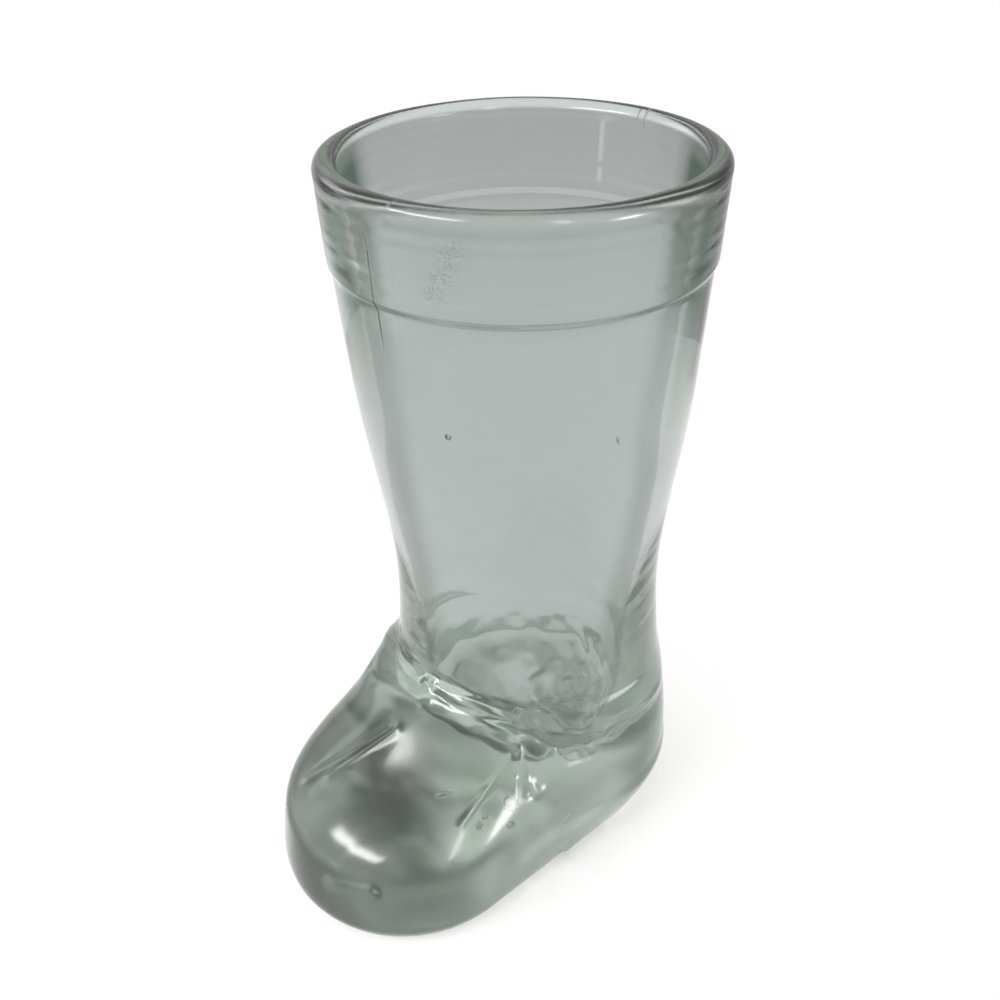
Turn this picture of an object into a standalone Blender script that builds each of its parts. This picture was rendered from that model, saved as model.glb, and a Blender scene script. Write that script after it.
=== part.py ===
"""Boot-shaped shot glass, pressed in one piece from clear soda-lime glass.

The glass stands on a flat sole with its toe towards -Y and its mouth up. The
outside is a loft: every outline up the foot is the tight band round a heel
circle and a toe circle, which becomes the round leg, the cuff and the rim. The
inside is the mark of one plunger: a taper down to the ankle, almost straight
below it, with a rounded floor.
All lengths are in metres.
"""

import math

import bmesh
import bpy

# Overall height and the rolled rim
GLASS_HEIGHT = 0.0869
RIM_DIAMETER = 0.0436
RIM_WALL = 0.0026
RIM_ROUND_HEIGHT = 0.0013

# The thick cuff under the rim, and the sloped step where it ends
CUFF_HEIGHT = 0.0106
CUFF_LOWER_DIAMETER = 0.0425
CUFF_STEP = 0.00045
CUFF_STEP_DROP = 0.0013

# The leg, narrowest at the ankle, and how far it leans back over the heel
CALF_HEIGHT = 0.0605
CALF_DIAMETER = 0.0393
ANKLE_HEIGHT = 0.0335
ANKLE_DIAMETER = 0.0332
LEG_SETBACK = 0.0006
SETBACK_HEIGHT = 0.0240

# Front of the foot, from the flat sole up to the throat where the instep
# meets the leg. A reach is measured forward from the axis of the rim.
SOLE_TOE_REACH = 0.0373
SOLE_TOE_RADIUS = 0.0152
WELT_HEIGHT = 0.0026
WELT_TOE_REACH = 0.0383
WELT_TOE_RADIUS = 0.0164
VAMP_HEIGHT = 0.0098
VAMP_TOE_REACH = 0.0373
VAMP_TOE_RADIUS = 0.0163
INSTEP_HEIGHT = 0.0180
INSTEP_TOE_REACH = 0.0260
INSTEP_TOE_RADIUS = 0.0149
TONGUE_HEIGHT = 0.0222
TONGUE_TOE_REACH = 0.0204
TONGUE_TOE_RADIUS = 0.0155
THROAT_HEIGHT = 0.0250
THROAT_TOE_RADIUS = 0.0098

# Back of the foot: sole, widest bulge of the heel, counter and tendon
SOLE_HEEL_RADIUS = 0.0166
HEEL_HEIGHT = 0.0070
HEEL_RADIUS = 0.0191
COUNTER_HEIGHT = 0.0174
COUNTER_RADIUS = 0.0182
TENDON_HEIGHT = 0.0240
TENDON_RADIUS = 0.0171
SOLE_EDGE_ROUND = 0.0008

# The hem: the lower edge of the leg, standing a little proud of the foot,
# lifted over the instep and level round the back of the heel
HEM_FRONT_HEIGHT = 0.0244
HEM_SIDE_HEIGHT = 0.0189
HEM_BACK_HEIGHT = 0.0187
HEM_RISE_STARTS = math.radians(80)
HEM_STAND = 0.00025
HEM_DROP = 0.0004
HEM_FADE = 0.0015

# Where the hem's waviness has died out and the rings round the leg are level
LEVEL_HEIGHT = 0.0400

# The heel block, a low step on the sides that ends at the heel breast
BREAST_REACH = 0.0105
BLOCK_HEIGHT = 0.0072
BLOCK_STAND = 0.0003
BLOCK_EDGE = 0.0008

# The hollow: the wall at the ankle, where the taper turns straight over a
# rounded knee, the glass under the floor, the radius where the wall would meet
# that floor, and the round corner between them
ANKLE_WALL = 0.0022
KNEE_ROUND = 0.0060
BASE_GLASS = 0.0118
FLOOR_RADIUS = 0.0143
FLOOR_CORNER = 0.0045

# Fineness of the loft. Rings crowd towards the hem, and edges that turn more
# than the sharp angle stay crisp.
SIDES = 64
EDGE_RINGS = 4
FOOT_RINGS = 12
LOWER_LEG_RINGS = 7
UPPER_LEG_RINGS = 7
RIM_RINGS = 7
BORE_RINGS = 12
BOWL_RINGS = 7
RING_CROWDING = 1.5
SHARP_ANGLE = math.radians(35)

GLASS_COLOUR = (0.70, 0.77, 0.74, 1.0)
GLASS_ROUGHNESS = 0.03
GLASS_IOR = 1.52

# Sizes that follow from the ones above
RIM_RADIUS = RIM_DIAMETER / 2
CUFF_EDGE_HEIGHT = GLASS_HEIGHT - CUFF_HEIGHT
LEG_TOP_HEIGHT = CUFF_EDGE_HEIGHT - CUFF_STEP_DROP
LEG_TOP_RADIUS = CUFF_LOWER_DIAMETER / 2 - CUFF_STEP
RIM_SHOULDER_HEIGHT = GLASS_HEIGHT - RIM_ROUND_HEIGHT
MOUTH_RADIUS = RIM_RADIUS - RIM_WALL
KNEE_RADIUS = ANKLE_DIAMETER / 2 - ANKLE_WALL

HEEL_RADII = (
    (0.0, SOLE_HEEL_RADIUS),
    (HEEL_HEIGHT, HEEL_RADIUS),
    (COUNTER_HEIGHT, COUNTER_RADIUS),
    (TENDON_HEIGHT, TENDON_RADIUS),
    (ANKLE_HEIGHT, ANKLE_DIAMETER / 2),
    (CALF_HEIGHT, CALF_DIAMETER / 2),
    (LEG_TOP_HEIGHT, LEG_TOP_RADIUS),
)
SETBACKS = (
    (0.0, 0.0),
    (SETBACK_HEIGHT, LEG_SETBACK),
    (LEG_TOP_HEIGHT, 0.0),
)
TOE_RADII = (
    (0.0, SOLE_TOE_RADIUS),
    (WELT_HEIGHT, WELT_TOE_RADIUS),
    (VAMP_HEIGHT, VAMP_TOE_RADIUS),
    (INSTEP_HEIGHT, INSTEP_TOE_RADIUS),
    (TONGUE_HEIGHT, TONGUE_TOE_RADIUS),
    (THROAT_HEIGHT, THROAT_TOE_RADIUS),
)


def smooth_value(stations, height):
    """Read a monotone cubic curve through (height, value) stations."""
    heights = [station[0] for station in stations]
    values = [station[1] for station in stations]
    spans = [b - a for a, b in zip(heights, heights[1:])]
    rises = [(b - a) / span for a, b, span in zip(values, values[1:], spans)]
    slopes = [rises[0]]
    for before, after in zip(rises, rises[1:]):
        level = before * after <= 0.0
        slopes.append(0.0 if level else 2 * before * after / (before + after))
    slopes.append(rises[-1])
    height = min(max(height, heights[0]), heights[-1])
    index = max(i for i in range(len(spans)) if heights[i] <= height)
    span = spans[index]
    t = (height - heights[index]) / span
    return (
        values[index] * (1 + 2 * t) * (1 - t) ** 2
        + slopes[index] * span * t * (1 - t) ** 2
        + values[index + 1] * t * t * (3 - 2 * t)
        + slopes[index + 1] * span * t * t * (t - 1)
    )


def ease(share):
    """Go from 0 to 1 with a level start and end."""
    share = min(max(share, 0.0), 1.0)
    return share * share * (3 - 2 * share)


def leg_front():
    """Forward reach of the round leg at the throat."""
    radius = smooth_value(HEEL_RADII, THROAT_HEIGHT)
    return radius - smooth_value(SETBACKS, THROAT_HEIGHT)


TOE_REACHES = (
    (0.0, SOLE_TOE_REACH),
    (WELT_HEIGHT, WELT_TOE_REACH),
    (VAMP_HEIGHT, VAMP_TOE_REACH),
    (INSTEP_HEIGHT, INSTEP_TOE_REACH),
    (TONGUE_HEIGHT, TONGUE_TOE_REACH),
    (THROAT_HEIGHT, leg_front()),
)


def circle_exit(start_y, step_y, centre_y, radius):
    """Distance along a ray from (0, start_y) to where it leaves a circle."""
    offset = start_y - centre_y
    inside = radius**2 - offset**2 * (1 - step_y**2)
    if inside < 0.0:
        return 0.0
    return math.sqrt(inside) - step_y * offset


def outline_point(angle, height, stand):
    """Point of the outside at an angle round from the toe, stood off the skin."""
    heel_y = smooth_value(SETBACKS, height)
    heel_r = smooth_value(HEEL_RADII, height) + stand
    step_x, step_y = math.sin(angle), -math.cos(angle)
    if height >= THROAT_HEIGHT:
        return heel_r * step_x, heel_y + heel_r * step_y
    toe_r = smooth_value(TOE_RADII, height) + stand
    toe_y = toe_r - stand - smooth_value(TOE_REACHES, height)
    front_y = min(toe_y - toe_r, heel_y - heel_r)
    middle_y = (front_y + heel_y + heel_r) / 2
    reach = max(
        circle_exit(middle_y, step_y, heel_y, heel_r),
        circle_exit(middle_y, step_y, toe_y, toe_r),
    )
    lean = (heel_r - toe_r) / (heel_y - toe_y)
    if lean < 1.0:
        # The straight side touches both circles at the same normal.
        normal_y, normal_x = -lean, math.sqrt(1 - lean**2)
        facing = normal_x * abs(step_x) + normal_y * step_y
        support = heel_r + normal_y * (heel_y - middle_y)
        side = support / facing if facing > 0.0 else 0.0
        side_y = middle_y + side * step_y
        if toe_y + normal_y * toe_r <= side_y <= heel_y + normal_y * heel_r:
            reach = max(reach, side)
    return reach * step_x, middle_y + reach * step_y


def hem_height(angle):
    """Height of the hem at an angle round from the toe."""
    forward = math.cos(angle)
    low = math.cos(HEM_RISE_STARTS)
    rise = (HEM_FRONT_HEIGHT - HEM_SIDE_HEIGHT) * ease((forward - low) / (1 - low))
    fall = (HEM_SIDE_HEIGHT - HEM_BACK_HEIGHT) * ease(-forward)
    return HEM_SIDE_HEIGHT + rise - fall


def outside_ring(height_at, stand_at):
    """Ring of points whose height and stand-off depend on the angle."""
    ring = []
    for side in range(SIDES):
        angle = 2 * math.pi * side / SIDES
        height = height_at(angle)
        x, y = outline_point(angle, height, stand_at(angle, height))
        ring.append((x, y, height))
    return ring


def round_ring(radius, height):
    """Level ring about the rim's axis."""
    angles = [2 * math.pi * side / SIDES for side in range(SIDES)]
    return [(radius * math.sin(a), -radius * math.cos(a), height) for a in angles]


def block_stand(angle, height):
    """How far the heel block stands off the foot."""
    back = outline_point(angle, height, 0.0)[1] + BREAST_REACH
    behind = ease(back / BLOCK_EDGE)
    below = ease((BLOCK_HEIGHT - height) / BLOCK_EDGE)
    return BLOCK_STAND * behind * below


def foot_rings():
    """Sole edge and foot, up to just under the hem."""
    rings = []
    for step in range(EDGE_RINGS):
        turn = math.pi / 2 * step / (EDGE_RINGS - 1)
        height = SOLE_EDGE_ROUND * (1 - math.cos(turn))
        inset = SOLE_EDGE_ROUND * (1 - math.sin(turn))
        rings.append(outside_ring(lambda a: height, lambda a, h: block_stand(a, h) - inset))
    for step in range(1, FOOT_RINGS + 1):
        share = step / FOOT_RINGS

        def foot_height(angle):
            top = hem_height(angle) - HEM_DROP
            return SOLE_EDGE_ROUND + share * (top - SOLE_EDGE_ROUND)

        rings.append(outside_ring(foot_height, block_stand))
    return rings


def hem_stand(angle, height):
    """How far the leg flares out over the foot as it nears the hem."""
    return HEM_STAND * (1 - ease((height - hem_height(angle)) / HEM_FADE))


def leg_rings():
    """Leg from the hem up to the step under the cuff."""
    rings = []
    for step in range(LOWER_LEG_RINGS):
        share = (step / LOWER_LEG_RINGS) ** RING_CROWDING

        def leg_height(angle):
            hem = hem_height(angle)
            return hem + share * (LEVEL_HEIGHT - hem)

        rings.append(outside_ring(leg_height, hem_stand))
    for step in range(UPPER_LEG_RINGS + 1):
        share = step / UPPER_LEG_RINGS
        height = LEVEL_HEIGHT + share * (LEG_TOP_HEIGHT - LEVEL_HEIGHT)
        rings.append(outside_ring(lambda a: height, hem_stand))
    return rings


def rim_rings():
    """Cuff, then over the rolled rim to the mouth."""
    rings = [round_ring(CUFF_LOWER_DIAMETER / 2, CUFF_EDGE_HEIGHT)]
    middle = RIM_RADIUS - RIM_WALL / 2
    for step in range(RIM_RINGS):
        turn = math.pi * step / (RIM_RINGS - 1)
        radius = middle + RIM_WALL / 2 * math.cos(turn)
        height = RIM_SHOULDER_HEIGHT + RIM_ROUND_HEIGHT * math.sin(turn)
        rings.append(round_ring(radius, height))
    return rings


LOWER_DRAFT = (KNEE_RADIUS - FLOOR_RADIUS) / (ANKLE_HEIGHT - BASE_GLASS)
UPPER_DRAFT = (MOUTH_RADIUS - KNEE_RADIUS) / (RIM_SHOULDER_HEIGHT - ANKLE_HEIGHT)


def bore_radius(height):
    """Radius of the bore: two straight tapers with a rounded knee at the ankle."""
    above = height - ANKLE_HEIGHT
    in_bend = min(max(above + KNEE_ROUND, 0.0), 2 * KNEE_ROUND)
    bend = in_bend**2 / (4 * KNEE_ROUND) + max(above - KNEE_ROUND, 0.0)
    return KNEE_RADIUS + LOWER_DRAFT * above + (UPPER_DRAFT - LOWER_DRAFT) * bend


def hollow_rings():
    """Tapered bore and the round corner that it runs into above the floor."""
    taper = math.atan(LOWER_DRAFT)
    corner_radius = FLOOR_RADIUS - FLOOR_CORNER * math.tan(math.pi / 4 - taper / 2)
    corner_height = BASE_GLASS + FLOOR_CORNER
    rings = []
    for step in range(BOWL_RINGS + 1):
        turn = taper + (math.pi / 2 - taper) * step / BOWL_RINGS
        radius = corner_radius + FLOOR_CORNER * math.cos(turn)
        rings.append(round_ring(radius, corner_height - FLOOR_CORNER * math.sin(turn)))
    meet_height = corner_height - FLOOR_CORNER * math.sin(taper)
    bore = []
    for step in range(1, BORE_RINGS):
        share = step / BORE_RINGS
        height = RIM_SHOULDER_HEIGHT + share * (meet_height - RIM_SHOULDER_HEIGHT)
        bore.append(round_ring(bore_radius(height), height))
    return bore + rings


def loft(name, rings):
    """Bridge closed rings in order and cap the first and the last."""
    mesh = bpy.data.meshes.new(name)
    bm = bmesh.new()
    loops = []
    for ring in rings:
        verts = [bm.verts.new(point) for point in ring]
        loops.append([bm.edges.new((a, b)) for a, b in zip(verts, verts[1:] + verts[:1])])
    for lower, upper in zip(loops, loops[1:]):
        bmesh.ops.bridge_loops(bm, edges=lower + upper)
    bmesh.ops.holes_fill(bm, edges=loops[0] + loops[-1], sides=SIDES)
    bmesh.ops.recalc_face_normals(bm, faces=bm.faces)
    bm.to_mesh(mesh)
    bm.free()
    mesh.shade_smooth()
    mesh.set_sharp_from_angle(angle=SHARP_ANGLE)
    obj = bpy.data.objects.new(name, mesh)
    bpy.context.scene.collection.objects.link(obj)
    return obj


def glass_material():
    """Clear pressed glass with a grey-green cast."""
    material = bpy.data.materials.new("pressed_soda_lime_glass")
    material.use_nodes = True
    shader = material.node_tree.nodes["Principled BSDF"]
    shader.inputs["Base Color"].default_value = GLASS_COLOUR
    shader.inputs["Roughness"].default_value = GLASS_ROUGHNESS
    shader.inputs["Metallic"].default_value = 0.0
    shader.inputs["IOR"].default_value = GLASS_IOR
    shader.inputs["Transmission Weight"].default_value = 1.0
    return material


def main():
    for old in list(bpy.data.objects):
        bpy.data.objects.remove(old, do_unlink=True)
    # The origin is under the middle of the whole length, toe to rim.
    base = bpy.data.objects.new("boot_origin", None)
    base.location.y = (WELT_TOE_REACH - RIM_RADIUS) / 2
    bpy.context.scene.collection.objects.link(base)
    rings = foot_rings() + leg_rings() + rim_rings() + hollow_rings()
    glass = loft("boot_glass", rings)
    glass.data.materials.append(glass_material())
    glass.parent = base


main()
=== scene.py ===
"""Boot shot glass of clear pressed glass, standing on a pale studio floor.

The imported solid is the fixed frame. Two pieces stand for it: the same boot on a fine
skin, with the hem, creases, knots, mould seam, turning marks and chill ripples that
the press leaves in the glass, and the small air seeds shut in that glass. All lengths
are in metres, with the toe towards -Y and the mouth up.
"""

import math

import bpy
import numpy as np
from mathutils import Matrix, Vector


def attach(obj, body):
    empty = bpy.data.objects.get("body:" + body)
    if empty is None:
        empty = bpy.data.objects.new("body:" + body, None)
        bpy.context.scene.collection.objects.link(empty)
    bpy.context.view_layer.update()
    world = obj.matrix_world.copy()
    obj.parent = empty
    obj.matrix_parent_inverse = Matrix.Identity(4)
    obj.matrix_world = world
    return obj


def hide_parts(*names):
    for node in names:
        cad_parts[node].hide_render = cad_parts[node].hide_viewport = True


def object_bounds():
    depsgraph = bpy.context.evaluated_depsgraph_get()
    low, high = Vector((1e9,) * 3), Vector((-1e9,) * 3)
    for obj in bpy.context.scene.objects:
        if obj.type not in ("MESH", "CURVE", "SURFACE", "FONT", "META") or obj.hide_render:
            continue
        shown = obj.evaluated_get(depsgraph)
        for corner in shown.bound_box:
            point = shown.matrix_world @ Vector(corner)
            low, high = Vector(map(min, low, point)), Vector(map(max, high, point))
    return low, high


bl_info = {
    "name": "Boot shot glass",
    "version": (1, 0, 0),
    "blender": (4, 5, 0),
    "location": "View3D > Sidebar > Boot glass",
    "description": "Builds a pressed boot shot glass and its studio around the packed solid",
    "category": "Object",
}

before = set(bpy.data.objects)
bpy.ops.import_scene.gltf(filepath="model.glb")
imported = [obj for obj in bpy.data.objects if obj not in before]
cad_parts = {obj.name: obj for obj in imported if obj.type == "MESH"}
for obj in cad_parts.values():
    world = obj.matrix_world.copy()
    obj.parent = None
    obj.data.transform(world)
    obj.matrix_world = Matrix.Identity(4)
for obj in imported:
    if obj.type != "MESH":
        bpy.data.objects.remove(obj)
CAD_LOW, CAD_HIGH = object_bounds()
NODE = "boot_glass"
MM = 0.001


def length(name, description, default):
    """A length that a user can change, in metres."""
    return bpy.props.FloatProperty(
        name=name, description=description, default=default, precision=5, unit="LENGTH"
    )


def turn(name, description, degrees):
    """An angle that a user can change, stated in degrees."""
    return bpy.props.FloatProperty(
        name=name, description=description, default=math.radians(degrees), unit="ROTATION"
    )


def dullness(name, description, default):
    """A roughness that a user can change, counted from polished glass."""
    return bpy.props.FloatProperty(name=name, description=description, default=default, min=0, max=1)


def linear(code):
    """Turn an sRGB hex colour into linear red, green, blue and alpha."""
    parts = [int(code[i : i + 2], 16) / 255 for i in (1, 3, 5)]
    return [p / 12.92 if p <= 0.04045 else ((p + 0.055) / 1.055) ** 2.4 for p in parts] + [1.0]


def colour(name, description, code):
    """A colour that a user can change, stated as an sRGB hex value."""
    return bpy.props.FloatVectorProperty(
        name=name, description=description, default=linear(code), size=4, subtype="COLOR", min=0, max=1
    )


class BootShape(bpy.types.PropertyGroup):
    """Sizes of the boot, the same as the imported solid's."""

    rim_diameter: length("Rim diameter", "Across the outside of the rim", 0.0436)
    rim_wall: length("Rim wall", "Thickness of the rolled rim", 0.0026)
    rim_round: length("Rim round", "Height of the rolled top of the rim", 0.0013)
    cuff_height: length("Cuff height", "Rim down to the lower edge of the cuff", 0.0106)
    cuff_diameter: length("Cuff diameter", "Across the lower edge of the cuff", 0.0425)
    cuff_step: length("Cuff step", "How far the cuff stands off the leg", 0.00045)
    cuff_drop: length("Cuff drop", "Height of the sloped step under the cuff", 0.0010)
    calf_height: length("Calf height", "Where the calf is measured", 0.0605)
    calf_diameter: length("Calf diameter", "Across the calf", 0.0393)
    ankle_height: length("Ankle height", "Where the leg is narrowest", 0.0335)
    ankle_diameter: length("Ankle diameter", "Across the ankle", 0.0332)
    leg_setback: length("Leg setback", "How far the ankle leans back", 0.0006)
    setback_height: length("Setback height", "Where the leg leans back most", 0.0240)
    sole_toe_reach: length("Sole toe reach", "Rim axis to the front of the sole", 0.0373)
    sole_toe_radius: length("Sole toe radius", "Round front of the sole", 0.0152)
    welt_height: length("Welt height", "Where the foot is longest", 0.0026)
    welt_toe_reach: length("Welt toe reach", "Rim axis to the front of the toe", 0.0383)
    welt_toe_radius: length("Welt toe radius", "Round front of the toe", 0.0164)
    vamp_height: length("Vamp height", "Where the toe starts to round over", 0.0098)
    vamp_toe_reach: length("Vamp toe reach", "Rim axis to the front of the vamp", 0.0373)
    vamp_toe_radius: length("Vamp toe radius", "Round front of the vamp", 0.0163)
    instep_height: length("Instep height", "Where the instep is measured", 0.0180)
    instep_toe_reach: length("Instep toe reach", "Rim axis to the front of the instep", 0.0260)
    instep_toe_radius: length("Instep toe radius", "Round front of the instep", 0.0149)
    tongue_height: length("Tongue height", "Where the tongue is measured", 0.0222)
    tongue_toe_reach: length("Tongue toe reach", "Rim axis to the front of the tongue", 0.0204)
    tongue_toe_radius: length("Tongue toe radius", "Round front of the tongue", 0.0155)
    throat_height: length("Throat height", "Where the instep meets the leg", 0.0250)
    throat_toe_radius: length("Throat toe radius", "Round front at the throat", 0.0098)
    sole_heel_radius: length("Sole heel radius", "Round back of the sole", 0.0166)
    heel_height: length("Heel height", "Where the heel bulges most", 0.0070)
    heel_radius: length("Heel radius", "Round back at the bulge", 0.0191)
    counter_height: length("Counter height", "Where the heel's counter is measured", 0.0174)
    counter_radius: length("Counter radius", "Round back at the counter", 0.0182)
    tendon_height: length("Tendon height", "Where the tendon is measured", 0.0240)
    tendon_radius: length("Tendon radius", "Round back at the tendon", 0.0171)
    sole_edge: length("Sole edge", "Round edge of the sole", 0.0008)
    level_height: length("Level height", "Where rings round the leg are level", 0.0400)
    breast_reach: length("Breast reach", "Rim axis to the front of the heel block", 0.0105)
    block_height: length("Block height", "Height of the heel block", 0.0072)
    block_stand: length("Block stand", "How far the heel block stands proud", 0.0003)
    block_edge: length("Block edge", "Width of the heel block's sloped edge", 0.0008)
    base_glass: length("Base glass", "Glass under the floor of the hollow", 0.0118)
    ankle_wall: length("Ankle wall", "Glass round the hollow at the ankle", 0.0022)
    knee_round: length("Knee round", "Half height of the bend where the taper turns straight", 0.0060)
    floor_radius: length("Floor radius", "Radius of the hollow at the floor", 0.0143)
    floor_corner: length("Floor corner", "Round corner above the floor", 0.0045)


class BootMarks(bpy.types.PropertyGroup):
    """Marks that the mould and the press leave in the glass."""

    hem_front: length("Hem front", "Height of the hem over the instep", 0.0244)
    hem_side: length("Hem side", "Height of the hem on the sides", 0.0189)
    hem_back: length("Hem back", "Height of the hem round the heel", 0.0164)
    hem_rise_starts: turn("Hem rise starts", "Where the hem starts to climb, from the toe", 80)
    hem_ends_start: turn("Hem ends start", "Where the hem starts to die out, from the toe", 112)
    hem_ends: turn("Hem ends", "Where the hem has died out, from the toe", 142)
    hem_stand: length("Hem stand", "How far the leg stands off the foot", 0.00025)
    hem_drop: length("Hem drop", "Height of the step under the hem", 0.0004)
    hem_fade: length("Hem fade", "Height over which the flare dies out", 0.0015)
    hem_bead: length("Hem bead", "Height of the rolled bead along the hem", 0.00014)
    hem_bead_width: length("Hem bead width", "Half width of that bead", 0.0004)
    knot_height: length("Knot height", "Height of the knots on the hem", 0.00035)
    knot_radius: length("Knot radius", "Radius of the knots on the hem", 0.0009)
    seam_depth: length("Seam depth", "Depth of the line that the mould's joint leaves", 0.00001)
    seam_haze: dullness("Seam haze", "Roughness along the mould seam", 0.9)
    seam_width: length("Seam width", "Half width of the mould seam", 0.00014)
    seam_end: length("Seam end", "How low the seam shows in front", 0.0680)
    seam_back_end: length("Seam back end", "How low the seam shows behind", 0.0810)
    ripple_depth: length("Ripple depth", "Depth of the chill ripples outside", 0.000012)
    ripple_length: length("Ripple length", "Spacing of the chill ripples", 0.0090)
    sole_dent: length("Sole dent", "Depth of the uneven sole", 0.00006)
    sole_dent_length: length("Sole dent length", "Spacing of the dents in the sole", 0.0140)
    sole_haze: dullness("Sole haze", "Roughness that the stippled sole adds", 0.12)
    foot_haze: dullness("Foot haze", "Roughness that the cold toe of the mould adds", 0.12)
    scuff_haze: dullness("Scuff haze", "Roughness that wear adds on the cuff", 0.65)
    scuff_width: length("Scuff width", "Half width of the scuff on the cuff", 0.0014)
    rim_haze: dullness("Rim haze", "Roughness that wear adds on the lip", 0.18)
    turning_depth: length("Turning depth", "Depth of the turning marks on the cuff", 0.000009)
    turning_pitch: length("Turning pitch", "Spacing of those marks", 0.0016)
    floor_dent: length("Floor dent", "Depth of the dents in the hollow's floor", 0.0003)
    floor_dent_length: length("Floor dent length", "Spacing of those dents", 0.0038)
    columns: bpy.props.IntProperty(name="Columns", description="Points round each ring", default=480)


class BootColours(bpy.types.PropertyGroup):
    """Colours of the glass and of the studio."""

    glass: colour("Glass", "What one wall of the glass lets through", "#D4D9D8")
    # The edge colour is partly the tint of glass seen edge-on and partly painted shade.
    edge: colour("Edge", "What a wall seen edge-on lets through", "#3F5246")
    depth: colour("Depth", "Tint that builds up in thick glass", "#6CA35D")
    floor: colour("Floor", "The pale studio floor", "#FAFAF8")
    backdrop: colour("Backdrop", "The white backdrop", "#FFFFFF")


def ease(share):
    """Go from 0 to 1 with a level start and end."""
    share = np.clip(share, 0.0, 1.0)
    return share * share * (3 - 2 * share)


def bell(distance, width):
    """A rounded ridge: 1 on its line and almost 0 two widths away."""
    return np.exp(-((distance / width) ** 2))


def smooth_value(stations, height):
    """Read a monotone cubic curve through (height, value) stations."""
    heights, values = np.array(stations).T
    spans = np.diff(heights)
    rises = np.diff(values) / spans
    before, after = rises[:-1], rises[1:]
    same_way = before * after > 0.0
    total = np.where(same_way, before + after, 1.0)
    inner = np.where(same_way, 2 * before * after / total, 0.0)
    slopes = np.concatenate((rises[:1], inner, rises[-1:]))
    height = np.clip(height, heights[0], heights[-1])
    index = np.clip(np.searchsorted(heights, height, side="right") - 1, 0, len(spans) - 1)
    span = spans[index]
    t = (height - heights[index]) / span
    return (
        values[index] * (1 + 2 * t) * (1 - t) ** 2
        + slopes[index] * span * t * (1 - t) ** 2
        + values[index + 1] * t * t * (3 - 2 * t)
        + slopes[index + 1] * span * t * t * (t - 1)
    )


def ripples(points, spacing, seed):
    """A smooth uneven field from -1 to 1 whose swells are about one spacing apart."""
    rng = np.random.default_rng(seed)
    waves = 14
    ways = rng.normal(size=(waves, 3))
    ways /= np.linalg.norm(ways, axis=1)[:, None]
    ways *= 2 * math.pi / (spacing * rng.uniform(0.7, 1.5, waves))[:, None]
    phases = rng.uniform(0, 2 * math.pi, waves)
    return np.sin(points @ ways.T + phases).sum(-1) / math.sqrt(waves)


def rim_axis_y(scene):
    """Where the rim's axis stands along Y."""
    return CAD_HIGH.y - scene.boot_shape.rim_diameter / 2


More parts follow.
